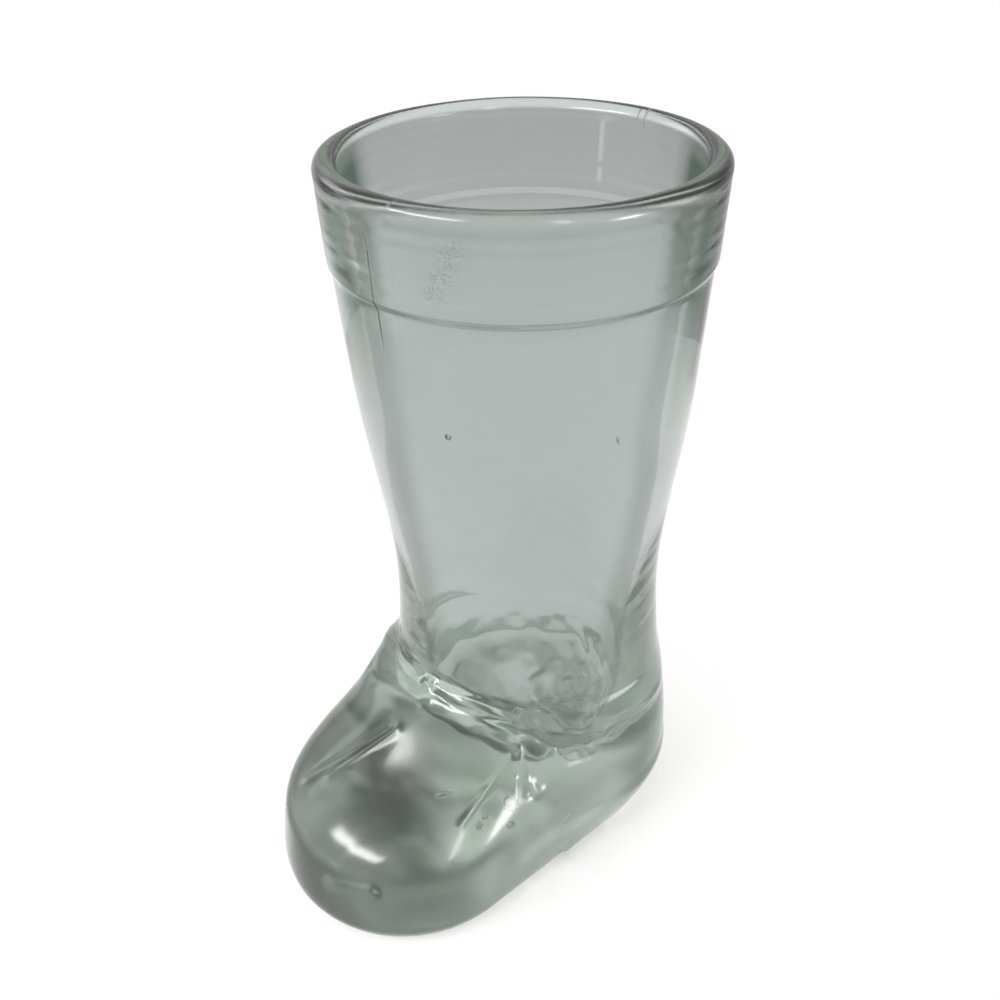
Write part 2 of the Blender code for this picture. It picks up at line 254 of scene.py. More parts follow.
class Outline:
    """The outside of the boot, as outlines round the rim's axis at any height."""

    def __init__(self, shape, marks):
        self.shape = shape
        self.marks = marks
        cuff_edge = CAD_HIGH.z - shape.cuff_height
        self.leg_top = cuff_edge - shape.cuff_drop
        self.leg_top_radius = shape.cuff_diameter / 2 - shape.cuff_step
        self.heel_radii = (
            (0.0, shape.sole_heel_radius),
            (shape.heel_height, shape.heel_radius),
            (shape.counter_height, shape.counter_radius),
            (shape.tendon_height, shape.tendon_radius),
            (shape.ankle_height, shape.ankle_diameter / 2),
            (shape.calf_height, shape.calf_diameter / 2),
            (self.leg_top, self.leg_top_radius),
        )
        self.setbacks = (
            (0.0, 0.0),
            (shape.setback_height, shape.leg_setback),
            (self.leg_top, 0.0),
        )
        self.toe_radii = (
            (0.0, shape.sole_toe_radius),
            (shape.welt_height, shape.welt_toe_radius),
            (shape.vamp_height, shape.vamp_toe_radius),
            (shape.instep_height, shape.instep_toe_radius),
            (shape.tongue_height, shape.tongue_toe_radius),
            (shape.throat_height, shape.throat_toe_radius),
        )
        throat = np.array(shape.throat_height)
        leg_front = smooth_value(self.heel_radii, throat) - smooth_value(self.setbacks, throat)
        self.toe_reaches = (
            (0.0, shape.sole_toe_reach),
            (shape.welt_height, shape.welt_toe_reach),
            (shape.vamp_height, shape.vamp_toe_reach),
            (shape.instep_height, shape.instep_toe_reach),
            (shape.tongue_height, shape.tongue_toe_reach),
            (shape.throat_height, float(leg_front)),
        )

    def at(self, angle, height, stand):
        """Points at angles round from the toe: the tight band round a heel and a toe circle."""
        heel_y = smooth_value(self.setbacks, height)
        heel_r = smooth_value(self.heel_radii, height) + stand
        toe_r = smooth_value(self.toe_radii, height) + stand
        toe_y = toe_r - stand - smooth_value(self.toe_reaches, height)
        step_x, step_y = np.sin(angle), -np.cos(angle)
        front_y = np.minimum(toe_y - toe_r, heel_y - heel_r)
        middle_y = (front_y + heel_y + heel_r) / 2
        reach = np.maximum(
            circle_exit(middle_y, step_y, heel_y, heel_r),
            circle_exit(middle_y, step_y, toe_y, toe_r),
        )
        # The straight side touches both circles at the same normal.
        lean = np.clip((heel_r - toe_r) / (heel_y - toe_y), -0.999, 0.999)
        normal_y, normal_x = -lean, np.sqrt(1 - lean**2)
        facing = normal_x * np.abs(step_x) + normal_y * step_y
        support = heel_r + normal_y * (heel_y - middle_y)
        side = np.where(facing > 0.0, support / np.where(facing > 0.0, facing, 1.0), 0.0)
        side_y = middle_y + side * step_y
        touches = (side_y >= toe_y + normal_y * toe_r) & (side_y <= heel_y + normal_y * heel_r)
        reach = np.where(touches, np.maximum(reach, side), reach)
        foot = np.stack((reach * step_x, middle_y + reach * step_y), -1)
        leg = np.stack((heel_r * step_x, heel_y + heel_r * step_y), -1)
        return np.where((height >= self.shape.throat_height)[..., None], leg, foot)

    def hem(self, angle):
        """Height of the hem: lifted over the instep, dipping round the heel."""
        marks = self.marks
        forward = np.cos(angle)
        low = math.cos(marks.hem_rise_starts)
        rise = (marks.hem_front - marks.hem_side) * ease((forward - low) / (1 - low))
        fall = (marks.hem_side - marks.hem_back) * ease(-forward)
        return marks.hem_side + rise - fall

    def hem_shows(self, angle):
        """How much of the hem is left: all in front and on the sides, none at the back."""
        start, end = math.cos(self.marks.hem_ends_start), math.cos(self.marks.hem_ends)
        return ease((np.cos(angle) - end) / (start - end))

    def hem_stand(self, angle, height):
        """How far the leg flares out over the foot as it nears the hem."""
        above = (height - self.hem(angle)) / self.marks.hem_fade
        return self.marks.hem_stand * self.hem_shows(angle) * (1 - ease(above))

    def block_stand(self, angle, height):
        """How far the heel block stands off the foot."""
        shape = self.shape
        back = self.at(angle, height, 0.0)[..., 1] + shape.breast_reach
        behind = ease(back / shape.block_edge)
        below = ease((shape.block_height - height) / shape.block_edge)
        return shape.block_stand * behind * below


def circle_exit(start_y, step_y, centre_y, radius):
    """Distance along a ray from (0, start_y) to where it leaves a circle, or 0."""
    offset = start_y - centre_y
    inside = radius**2 - offset**2 * (1 - step_y**2)
    return np.where(inside > 0.0, np.sqrt(np.maximum(inside, 0.0)) - step_y * offset, 0.0)


def crowded_angles(count):
    """Angles round from the toe, closer together on the mould seam front and back."""
    even = np.arange(count) * 2 * math.pi / count
    crowding = 0.55
    return even - crowding / 2 * np.sin(2 * even)


# Rows of the skin, counted along the outside from the sole and back down the hollow
SOLE_ROWS = 44
EDGE_ROWS = 6
FOOT_ROWS = 84
STEP_ROWS = 4
LOWER_LEG_ROWS = 46
UPPER_LEG_ROWS = 64
CUFF_STEP_ROWS = 9
CUFF_ROWS = 24
RIM_ROWS = 28
BORE_ROWS = 70
CORNER_ROWS = 26
FLOOR_ROWS = 26


def skin_rows(shape, marks):
    """Rows of points up the outside, over the rim and down the hollow, with each row's zone."""
    outline = Outline(shape, marks)
    angle = crowded_angles(marks.columns)
    rows = []
    zones = []

    def add(zone, points, height):
        height = np.broadcast_to(height, angle.shape)
        rows.append(np.concatenate((points, height[:, None]), -1))
        zones.append(zone)

    def add_round(zone, radius, height):
        add(zone, np.stack((radius * np.sin(angle), -radius * np.cos(angle)), -1), height)

    level = np.zeros_like(angle)
    edge = outline.at(angle, level, outline.block_stand(angle, level) - shape.sole_edge)
    middle = np.array((0.0, edge[:, 1].mean()))
    for share in np.linspace(1 / SOLE_ROWS, 1, SOLE_ROWS, endpoint=False):
        add("sole", middle + share * (edge - middle), 0.0)
    for bend in np.linspace(0, math.pi / 2, EDGE_ROWS):
        height = level + shape.sole_edge * (1 - math.cos(bend))
        inset = shape.sole_edge * (1 - math.sin(bend))
        add("foot", outline.at(angle, height, outline.block_stand(angle, height) - inset), height)
    hem = outline.hem(angle)
    under = hem - marks.hem_drop
    for share in np.linspace(0, 1, FOOT_ROWS + 1)[1:]:
        height = shape.sole_edge + share * (under - shape.sole_edge)
        add("foot", outline.at(angle, height, outline.block_stand(angle, height)), height)
    for share in np.linspace(0, 1, STEP_ROWS + 1)[1:-1]:
        height = under + share * marks.hem_drop
        stand = marks.hem_stand * outline.hem_shows(angle) * ease(share)
        add("foot", outline.at(angle, height, stand), height)
    # These rows crowd towards the hem.
    for share in np.linspace(0, 1, LOWER_LEG_ROWS, endpoint=False) ** 1.4:
        height = hem + share * (shape.level_height - hem)
        add("leg", outline.at(angle, height, outline.hem_stand(angle, height)), height)
    for height in np.linspace(shape.level_height, outline.leg_top, UPPER_LEG_ROWS):
        height = level + height
        add("leg", outline.at(angle, height, outline.hem_stand(angle, height)), height)
    for share in np.linspace(0, 1, CUFF_STEP_ROWS)[1:]:
        radius = outline.leg_top_radius + shape.cuff_step * ease(share)
        add_round("cuff", radius, outline.leg_top + share * shape.cuff_drop)
    rim_radius = shape.rim_diameter / 2
    shoulder = CAD_HIGH.z - shape.rim_round
    cuff_edge = CAD_HIGH.z - shape.cuff_height
    for share in np.linspace(0, 1, CUFF_ROWS)[1:-1]:
        radius = shape.cuff_diameter / 2 + share * (rim_radius - shape.cuff_diameter / 2)
        add_round("cuff", radius, cuff_edge + share * (shoulder - cuff_edge))
    for bend in np.linspace(0, math.pi, RIM_ROWS):
        radius = rim_radius - shape.rim_wall / 2 * (1 - math.cos(bend))
        add_round("rim", radius, shoulder + shape.rim_round * math.sin(bend))
    mouth = rim_radius - shape.rim_wall
    knee = shape.ankle_diameter / 2 - shape.ankle_wall
    lower = (knee - shape.floor_radius) / (shape.ankle_height - shape.base_glass)
    upper = (mouth - knee) / (shoulder - shape.ankle_height)
    taper = math.atan(lower)
    corner = shape.floor_corner
    corner_radius = shape.floor_radius - corner * math.tan(math.pi / 4 - taper / 2)
    corner_height = shape.base_glass + corner
    meet_height = corner_height - corner * math.sin(taper)
    for height in np.linspace(shoulder, meet_height, BORE_ROWS)[1:-1]:
        above = height - shape.ankle_height
        in_bend = min(max(above + shape.knee_round, 0.0), 2 * shape.knee_round)
        bend = in_bend**2 / (4 * shape.knee_round) + max(above - shape.knee_round, 0.0)
        add_round("bore", knee + lower * above + (upper - lower) * bend, height)
    for bend in np.linspace(taper, math.pi / 2, CORNER_ROWS):
        radius = corner_radius + corner * math.cos(bend)
        add_round("bowl", radius, corner_height - corner * math.sin(bend))
    for share in np.linspace(1, 0, FLOOR_ROWS, endpoint=False)[1:]:
        add_round("bowl", corner_radius * share, shape.base_glass)
    return np.array(rows), np.array(zones), angle, outline


def soften(points, passes, axis):
    """Even out the bends along one way of a grid of points, without shrinking it."""

    def blur(grid):
        for _ in range(passes):
            if axis:
                grid = grid / 2 + (np.roll(grid, 1, 1) + np.roll(grid, -1, 1)) / 4
            else:
                inner = grid[1:-1] / 2 + (grid[:-2] + grid[2:]) / 4
                grid = np.concatenate((grid[:1], inner, grid[-1:]))
        return grid

    once = blur(points)
    return once + blur(points - once)


# Passes of the flame up and round the boot, the rows over which it sets in above the
# sole's edge, and the height where it has died out, with the length of that fade
POLISH_UP = 24
POLISH_ROUND = 40
POLISH_START_ROWS = 8
POLISH_TOP = 36 * MM
POLISH_FADE = 6 * MM


def fire_polish(points, zones):
    """Round off the leg and the foot as the flame does, apart from the sole's edge and the cuff."""
    rows = np.flatnonzero(np.isin(zones, ("foot", "leg")))
    low, high = rows[0] + EDGE_ROWS, rows[-1] + 1
    middle = points[low:high]
    flat = middle.copy()
    flat[..., :2] = soften(middle, POLISH_UP, 0)[..., :2]
    flat[..., :2] = soften(flat, POLISH_ROUND, 1)[..., :2]
    start = ease(np.arange(high - low) / POLISH_START_ROWS)[:, None]
    share = start * ease((POLISH_TOP - middle[..., 2]) / POLISH_FADE)
    points[low:high] = middle + share[..., None] * (flat - middle)
    return points


def skin_normals(points):
    """Outward normals of the rows of points."""
    round_way = np.roll(points, -1, 1) - np.roll(points, 1, 1)
    along = np.gradient(points, axis=0)
    normals = np.cross(round_way, along)
    return normals / np.maximum(np.linalg.norm(normals, axis=-1), 1e-12)[..., None]


def line_distance(points, start, end):
    """Distance of points from a straight line between two places."""
    start, end = np.array(start) * MM, np.array(end) * MM
    way = end - start
    share = np.clip((points - start) @ way / (way @ way), 0.0, 1.0)
    return np.linalg.norm(points - start - share[..., None] * way, axis=-1)


# Beads and folds that the cold mould draws in the foot. Each has its height and half
# width in millimetres, and points in millimetres from the rim's axis on the sole.
PRESS_LINES = (
    # Lower edge of the strap over the instep, out to its point
    (0.14, 0.35, ((-0.4, -17.5, 24.3), (4.7, -17.5, 23.7), (7.9, -16.4, 23.4), (10.5, -14.9, 23.1))),
    (-0.12, 0.30, ((0.8, -17.4, 24.1), (4.9, -17.0, 24.0), (8.0, -15.9, 23.7), (10.9, -14.2, 23.3))),
    # Fold under the strap that wanders down the side
    (-0.16, 0.45, ((7.9, -17.2, 22.8), (11.0, -15.3, 22.5), (13.7, -13.0, 21.7), (15.3, -10.8, 19.0))),
    (-0.16, 0.45, ((15.3, -10.8, 19.0), (16.3, -9.7, 16.5), (17.3, -6.6, 15.8))),
    # Ridge and fold from the tongue out over the inner side of the vamp
    (0.16, 0.70, ((-0.2, -22.8, 20.4), (-2.6, -26.2, 17.7), (-4.5, -29.7, 15.3))),
    (-0.22, 0.80, ((-1.5, -23.2, 20.0), (-4.8, -27.7, 16.4), (-8.0, -32.0, 13.0))),
    # Hollow under the strap on the inner side
    (-0.30, 1.20, ((-0.3, -19.4, 22.9), (-4.0, -19.6, 22.3), (-8.6, -19.1, 21.2), (-11.8, -17.3, 20.3))),
    # Dent low on the toe, and a shallow one across the top of the toe
    (-0.34, 0.90, ((3.4, -37.4, 7.6), (8.0, -35.5, 8.6))),
    (-0.06, 0.70, ((3.4, -35.6, 11.4), (5.4, -31.3, 14.5))),
    # Two creases that part from one point on the outer side of the vamp
    (0.16, 0.40, ((13.0, -15.3, 20.6), (12.7, -19.9, 17.4), (12.7, -24.7, 14.7))),
    (0.16, 0.40, ((13.0, -15.3, 20.6), (14.4, -15.7, 17.6), (16.0, -14.8, 14.5))),
    # Knob and short folds of the crackled patch between those creases
    (0.26, 0.70, ((13.9, -17.8, 13.9), (14.1, -17.3, 13.7))),
    (-0.34, 0.55, ((13.4, -20.2, 13.9), (14.0, -19.4, 12.3))),
    (-0.30, 0.55, ((14.6, -17.2, 12.4), (14.9, -18.1, 11.0))),
    (0.18, 0.50, ((13.9, -16.7, 17.4), (14.3, -17.3, 15.4))),
    (-0.18, 0.50, ((14.9, -15.2, 17.2), (15.5, -15.8, 15.2))),
    (0.18, 0.55, ((15.7, -13.6, 14.4), (16.4, -12.6, 12.6))),
)
# Knots on the hem: in front, where the strap's point is, and on each side
HEM_KNOTS = ((-0.2, -17.5, 24.3), (12.7, -12.5, 22.9), (17.4, -4.4, 18.9), (-17.4, -4.4, 18.9))
# Heights over which the seam fades in, and how far under the top it ends in front
SEAM_FADE = 5 * MM
SEAM_TOP_FADE = 1 * MM
LIP_POLISH = 3 * MM


def seam_line(points, zones, marks):
    """How far each point lies in the line of the mould seam."""
    height = points[..., 2]
    skin = np.isin(zones, ("leg", "cuff", "rim"))[:, None]
    front = points[..., 1] < 0.0
    lowest = np.where(front, marks.seam_end, marks.seam_back_end)
    shown = ease((height - lowest) / SEAM_FADE)
    # The lip is polished in front, so that the seam ends under it.
    polished = ease((CAD_HIGH.z - LIP_POLISH - height) / SEAM_TOP_FADE)
    shown = np.where(front, shown * polished, shown)
    return skin * shown * bell(points[..., 0], marks.seam_width)


# Width over which the hollow's floor goes from even to uneven, and how far the dents
# take to die out up its corner
CHILL_SPREAD = 8 * MM
FLOOR_DENT_FADE = 2 * MM


def press_marks(points, zones, angle, outline):
    """How far each point stands off the plain boot, along its normal."""
    marks = outline.marks
    height = points[..., 2]
    off = np.zeros(height.shape)
    outside = np.isin(zones, ("foot", "leg"))[:, None]
    hem = outline.hem(angle)
    above = height - hem - marks.hem_bead_width
    off += outside * outline.hem_shows(angle) * marks.hem_bead * bell(above, marks.hem_bead_width)
    for rise, width, stops in PRESS_LINES:
        spans = [line_distance(points, start, end) for start, end in zip(stops, stops[1:])]
        off += outside * rise * MM * bell(np.min(spans, axis=0), width * MM)
    for knot in HEM_KNOTS:
        distance = np.linalg.norm(points - np.array(knot) * MM, axis=-1)
        off += outside * marks.knot_height * bell(distance, marks.knot_radius)
    off -= marks.seam_depth * seam_line(points, zones, marks)
    skin = np.isin(zones, ("foot", "leg", "cuff", "rim"))[:, None]
    off += skin * marks.ripple_depth * ripples(points, marks.ripple_length, seed=3)
    turns = height / marks.turning_pitch
    rings = np.sin(2 * math.pi * turns) + 0.6 * np.sin(5.1 * turns)
    off += (zones == "cuff")[:, None] * marks.turning_depth * rings
    # The plunger was coldest on one side, where the floor is most uneven.
    chilled = 0.5 + ease((points[..., 0] + points[..., 1]) / CHILL_SPREAD + 0.5)
    down = ease((outline.shape.base_glass + outline.shape.floor_corner - height) / FLOOR_DENT_FADE)
    dents = marks.floor_dent * ripples(points, marks.floor_dent_length, seed=5)
    off += (zones == "bowl")[:, None] * down * chilled * dents
    # The sole is dented in the middle and flat along its edge.
    inner = np.zeros(len(zones))
    inner[:SOLE_ROWS] = ease(6 - 6 * (np.arange(SOLE_ROWS) + 1) / SOLE_ROWS)
    hollows = np.clip(ripples(points, marks.sole_dent_length, seed=7), 0.0, 2.0)
    off -= inner[:, None] * marks.sole_dent * hollows
    return off


def skin_mesh(name, points):
    """A closed mesh from rows of points, with a pole at each end."""
    rows, columns = points.shape[:2]
    poles = np.array((points[0].mean(0), points[-1].mean(0)))
    verts = np.concatenate((points.reshape(-1, 3), poles))
    corner = np.arange((rows - 1) * columns)
    beside = corner // columns * columns + (corner + 1) % columns
    quads = np.stack((corner, beside, beside + columns, corner + columns), -1)
    ring = np.arange(columns)
    after = (ring + 1) % columns
    first, last = rows * columns, rows * columns + 1
    top = (rows - 1) * columns
    fans = [(first, b, a) for a, b in zip(ring.tolist(), after.tolist())]
    fans += [(last, top + a, top + b) for a, b in zip(ring.tolist(), after.tolist())]
    mesh = bpy.data.meshes.new(name)
    mesh.from_pydata(verts.tolist(), [], quads.tolist() + fans)
    mesh.shade_smooth()
    mesh.update()
    return mesh


# Ends of the scuff on the cuff, in millimetres from the rim's axis on the sole
CUFF_SCUFF = ((9.6, -19.4, 83.2), (7.6, -20.2, 78.8))


def skin_haze(points, zones, marks):
    """How much each point of the skin is roughened."""
    levels = {"sole": marks.sole_haze, "foot": marks.foot_haze, "rim": marks.rim_haze}
    even = np.array([levels.get(zone, 0.0) for zone in zones])[:, None]
    return np.maximum(even, marks.seam_haze * seam_line(points, zones, marks))


def skin_scuff(points, zones, marks):
    """How far each point lies in the scuff on the cuff."""
    near = bell(line_distance(points, *CUFF_SCUFF), marks.scuff_width)
    return (zones == "cuff")[:, None] * marks.scuff_haze * near


# Heights in millimetres and how much a wall darkens there as it turns from the eye: partly the tint of
# more glass, partly painted shade on the edges
WALL_SHADES = (
    (28.0, 0.60),
    (34.0, 0.40),
    (58.0, 0.50),
    (74.0, 1.00),
    (84.0, 1.00),
    (86.0, 0.55),
)


def wall_shade(points):
    """How much each point of the skin darkens as it turns from the eye, partly as painted shade."""
    heights, shades = np.array(WALL_SHADES).T
    return np.interp(points[..., 2], heights * MM, shades)


def add_layer(mesh, name, values):
    """Store one value for each of the mesh's points, the two poles last."""
    values = np.append(values.ravel(), (values[0, 0], values[-1, 0]))
    layer = mesh.attributes.new(name, "FLOAT", "POINT")
    layer.data.foreach_set("value", values.astype(np.float32))


def add_piece(scene, name, mesh):
    """Put a piece of the boot in the scene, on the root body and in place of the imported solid."""
    piece = bpy.data.objects.new(name, mesh)
    scene.collection.objects.link(piece)
    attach(piece, "root")
    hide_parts(NODE)


def bare_material(name):
    """A material with no nodes yet, and its node tree."""
    material = bpy.data.materials.new(name)
    material.use_nodes = True
    material.node_tree.nodes.clear()
    return material, material.node_tree


def add_node(tree, kind, links=None, **settings):
    """Add a node with its inputs and settings; an input is a value or another node's output."""
    node = tree.nodes.new(kind)
    for key, value in settings.items():
        setattr(node, key, value)
    for key, value in (links or {}).items():
        socket = node.inputs[key]
        if isinstance(value, bpy.types.NodeSocket):
            tree.links.new(value, socket)
        else:
            socket.default_value = value
    return node


GLASS_IOR = 1.52
DEPTH_DENSITY = 10.0
# Real spacings of the marks that the glass's nodes draw
CLOUD_SIZE = 12 * MM
SPECK_SIZE = 0.3 * MM
PEEL_SIZE = 4 * MM
PEEL_HEIGHT = 0.2 * MM
# How far dulled skin takes the edge's tint
DULL_TINT = 0.4


def pressed_glass(colours):
    """Pressed soda-lime glass: clear with a grey-green cast, fire polished but a
    little uneven, so that reflections wander and soften in patches."""
    material, tree = bare_material("pressed_soda_lime_glass")
    place = add_node(tree, "ShaderNodeTexCoord").outputs["Object"]
    # Fire polish leaves cloudy patches, a little less glossy than the rest.
    cloud = add_node(
        tree, "ShaderNodeTexNoise", {"Vector": place, "Scale": 1 / CLOUD_SIZE, "Detail": 2.0}
    ).outputs["Fac"]
    gloss = add_node(
        tree,
        "ShaderNodeMapRange",
        {"Value": cloud, "From Min": 0.35, "From Max": 0.75, "To Min": 0.02, "To Max": 0.05},
    ).outputs["Result"]
    # The sole is stippled, the lip worn and the cuff scuffed, which blurs what shows there.
    worn = add_node(tree, "ShaderNodeAttribute", attribute_name="haze").outputs["Fac"]
    scuff = add_node(tree, "ShaderNodeAttribute", attribute_name="scuff").outputs["Fac"]
    grit = add_node(
        tree, "ShaderNodeTexNoise", {"Vector": place, "Scale": 1 / SPECK_SIZE, "Detail": 3.0}
    ).outputs["Fac"]
    specks = add_node(
        tree, "ShaderNodeMapRange", {"Value": grit, "From Min": 0.40, "From Max": 0.75}
    ).outputs["Result"]
    haze = add_node(
        tree, "ShaderNodeMath", {0: specks, 1: scuff, 2: worn}, operation="MULTIPLY_ADD"
    ).outputs[0]
    rough = add_node(tree, "ShaderNodeMath", {0: gloss, 1: haze}, operation="ADD").outputs[0]
    # Chill marks are a faint orange peel.
    peel = add_node(
        tree, "ShaderNodeTexNoise", {"Vector": place, "Scale": 1 / PEEL_SIZE, "Detail": 1.0}
    ).outputs["Fac"]
    bump = add_node(
        tree, "ShaderNodeBump", {"Strength": 0.02, "Distance": PEEL_HEIGHT, "Height": peel}
    ).outputs["Normal"]
    # A wall that turns away from the eye is seen through more glass, so it looks darker; this edge tint
    # is partly that and partly painted shade on the glass's edges.
    facing = add_node(tree, "ShaderNodeLayerWeight", {"Blend": 0.5}).outputs["Facing"]
    turned = add_node(
        tree,
        "ShaderNodeMapRange",
        {"Value": facing, "From Min": 0.42, "From Max": 0.62},
        interpolation_type="SMOOTHSTEP",
    ).outputs["Result"]
    # The painted edge shade is strongest on the thick cuff and weakest on the thin leg.
    wall = add_node(tree, "ShaderNodeAttribute", attribute_name="wall").outputs["Fac"]
    shaded = add_node(tree, "ShaderNodeMath", {0: turned, 1: wall}, operation="MULTIPLY").outputs[0]
    # Dulled skin lets less through as well.
    dulled = add_node(
        tree,
        "ShaderNodeMath",
        {0: haze, 1: DULL_TINT, 2: shaded},
        operation="MULTIPLY_ADD",
        use_clamp=True,
    ).outputs[0]
    tint = add_node(
        tree, "ShaderNodeMix", {0: dulled, 6: colours.glass, 7: colours.edge}, data_type="RGBA"
    ).outputs[2]
    shader = add_node(
        tree,
        "ShaderNodeBsdfPrincipled",
        {
            "Base Color": tint,
            "Roughness": rough,
            "IOR": GLASS_IOR,
            "Transmission Weight": 1.0,
            "Normal": bump,
        },
    ).outputs["BSDF"]
    depth = add_node(
        tree, "ShaderNodeVolumeAbsorption", {"Color": colours.depth, "Density": DEPTH_DENSITY}
    ).outputs["Volume"]
    add_node(tree, "ShaderNodeOutputMaterial", {"Surface": shader, "Volume": depth})
    return material


class BOOT_OT_glass(bpy.types.Operator):
    """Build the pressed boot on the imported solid's place"""

    bl_idname = "boot.glass"
    bl_label = "Press the boot"

    def execute(self, context):
        scene = context.scene
        points, zones, angle, outline = skin_rows(scene.boot_shape, scene.boot_marks)
        points = fire_polish(points, zones)
        haze = skin_haze(points, zones, scene.boot_marks)
        scuff = skin_scuff(points, zones, scene.boot_marks)
        off = press_marks(points, zones, angle, outline)
        points = points + off[..., None] * skin_normals(points)
        points[..., 1] += rim_axis_y(scene)
        points[..., 2] = np.clip(points[..., 2], 0.0, CAD_HIGH.z)
        mesh = skin_mesh("pressed_boot", points)
        add_layer(mesh, "haze", haze)
        add_layer(mesh, "scuff", scuff)
        add_layer(mesh, "wall", wall_shade(points))
        mesh.materials.append(pressed_glass(scene.boot_colours))
        add_piece(scene, "pressed_boot", mesh)
        return {"FINISHED"}


# Air seeds shut in the glass: middle in millimetres from the rim's axis on the sole,
# radius in millimetres, and the way and times that the flow has drawn each one out
AIR_SEEDS = (
    ((13.7, -17.7, 13.9), 1.10, (0.0, 0.0, 1.0), 1.0),
    ((13.0, -21.2, 13.8), 0.38, (0.2, 0.6, 0.8), 1.6),
    ((13.2, -22.4, 13.2), 0.42, (0.2, 0.4, 0.9), 1.4),
    ((14.6, -18.8, 11.8), 0.45, (0.1, 0.9, -0.4), 1.5),
    ((8.6, -23.5, 15.9), 0.40, (0.6, 0.7, 0.3), 2.8),
    ((16.4, -10.5, 8.0), 0.35, (0.2, 0.6, 0.7), 3.0),
    ((6.2, -17.6, 62.2), 0.36, (0.0, 0.0, 1.0), 1.0),
    ((18.2, -5.4, 61.2), 0.11, (0.1, 0.3, -0.9), 5.0),
    ((5.0, 8.6, 10.6), 0.45, (1.0, 0.3, 0.0), 1.3),
    ((3.0, 6.9, 10.7), 0.32, (0.3, 1.0, 0.0), 1.5),
    ((6.0, 5.6, 10.6), 0.38, (1.0, -0.6, 0.0), 1.4),
    ((5.2, 1.2, 10.8), 0.30, (0.5, 1.0, 0.0), 1.2),
    ((0.6, 4.6, 10.6), 0.26, (1.0, 0.0, 0.0), 1.6),
    ((7.6, 3.4, 10.5), 0.34, (0.4, 1.0, 0.0), 1.3),
)
SEED_ROWS = 12
SEED_COLUMNS = 24
# Spacing of the unevenness on a seed's skin
SEED_CLOUD_SIZE = 0.5 * MM


def seed_shell(middle, radius, way, drawn):
    """Points and faces of one drawn-out seed, its faces turned in because it is air in glass."""
    rise = np.linspace(0, math.pi, SEED_ROWS + 1)[1:-1]
    round_way = np.arange(SEED_COLUMNS) * 2 * math.pi / SEED_COLUMNS
    side = np.sin(rise)[:, None]
    level = np.repeat(np.cos(rise)[:, None], SEED_COLUMNS, 1)
    ball = np.stack((side * np.cos(round_way), side * np.sin(round_way), level), -1).reshape(-1, 3)
    ball = np.concatenate((ball, ((0.0, 0.0, 1.0), (0.0, 0.0, -1.0)))) * radius * MM
    ball[:, 2] *= drawn
    turned = np.array(Vector(way).to_track_quat("Z", "Y").to_matrix())
    points = ball @ turned.T + np.array(middle) * MM
    north, south = len(points) - 2, len(points) - 1
    last = north - SEED_COLUMNS
    faces = []
    for a in range(SEED_COLUMNS):
        b = (a + 1) % SEED_COLUMNS
        faces.append((north, b, a))
        faces.append((south, last + a, last + b))
        for row in range(0, last, SEED_COLUMNS):
            faces.append((row + a, row + b, row + SEED_COLUMNS + b, row + SEED_COLUMNS + a))
    return points, faces


def seed_skin():
    """The skin of an air seed: clear glass met from the inside, a little uneven, which
    makes a bright bead with a dark edge."""
    material, tree = bare_material("air_seed_in_glass")
    place = add_node(tree, "ShaderNodeTexCoord").outputs["Object"]
    cloud = add_node(
        tree, "ShaderNodeTexNoise", {"Vector": place, "Scale": 1 / SEED_CLOUD_SIZE}
    ).outputs["Fac"]
    rough = add_node(
        tree, "ShaderNodeMapRange", {"Value": cloud, "To Min": 0.1, "To Max": 0.5}
    ).outputs["Result"]
    shader = add_node(
        tree,
        "ShaderNodeBsdfPrincipled",
        {
            "Base Color": (1.0, 1.0, 1.0, 1.0),
            "Roughness": rough,
            "IOR": GLASS_IOR,
            "Transmission Weight": 1.0,
        },
    ).outputs["BSDF"]
    add_node(tree, "ShaderNodeOutputMaterial", {"Surface": shader})
    return material


class BOOT_OT_seeds(bpy.types.Operator):
    """Shut the small air seeds into the glass"""

    bl_idname = "boot.seeds"
    bl_label = "Add the air seeds"

    def execute(self, context):
        scene = context.scene
        verts, faces = [], []
        for seed in AIR_SEEDS:
            points, shell = seed_shell(*seed)
            faces += [tuple(len(verts) + corner for corner in face) for face in shell]
            points[:, 1] += rim_axis_y(scene)
            verts += points.tolist()
        mesh = bpy.data.meshes.new("air_seeds")
        mesh.from_pydata(verts, [], faces)
        mesh.shade_smooth()
        mesh.materials.append(seed_skin())
        add_piece(scene, "air_seeds", mesh)
        return {"FINISHED"}


# Camera of the photograph: place in millimetres from the rim's axis on the sole
CAMERA_PLACE = (82.39, -87.43, 120.39)
CAMERA_AZIMUTH = math.radians(44.722)
CAMERA_PITCH = math.radians(32.702)
CAMERA_ROLL = math.radians(1.116)
CAMERA_LENS = 41.39
CAMERA_SENSOR = 36.0
CAMERA_CLIP = 0.005


def studio_camera(scene):
    """The camera at the photograph's viewing angle."""
    data = bpy.data.cameras.new("camera")
    data.lens = CAMERA_LENS
    data.sensor_width = CAMERA_SENSOR
    data.clip_start = CAMERA_CLIP
    camera = bpy.data.objects.new("camera", data)
    scene.collection.objects.link(camera)
    turned = Matrix.Rotation(CAMERA_AZIMUTH, 4, "Z")
    tilted = Matrix.Rotation(math.pi / 2 - CAMERA_PITCH, 4, "X")
    rolled = Matrix.Rotation(-CAMERA_ROLL, 4, "Z")
    place = Vector(CAMERA_PLACE) * MM
    place.y += rim_axis_y(scene)
    camera.matrix_world = Matrix.Translation(place) @ turned @ tilted @ rolled
    scene.camera = camera


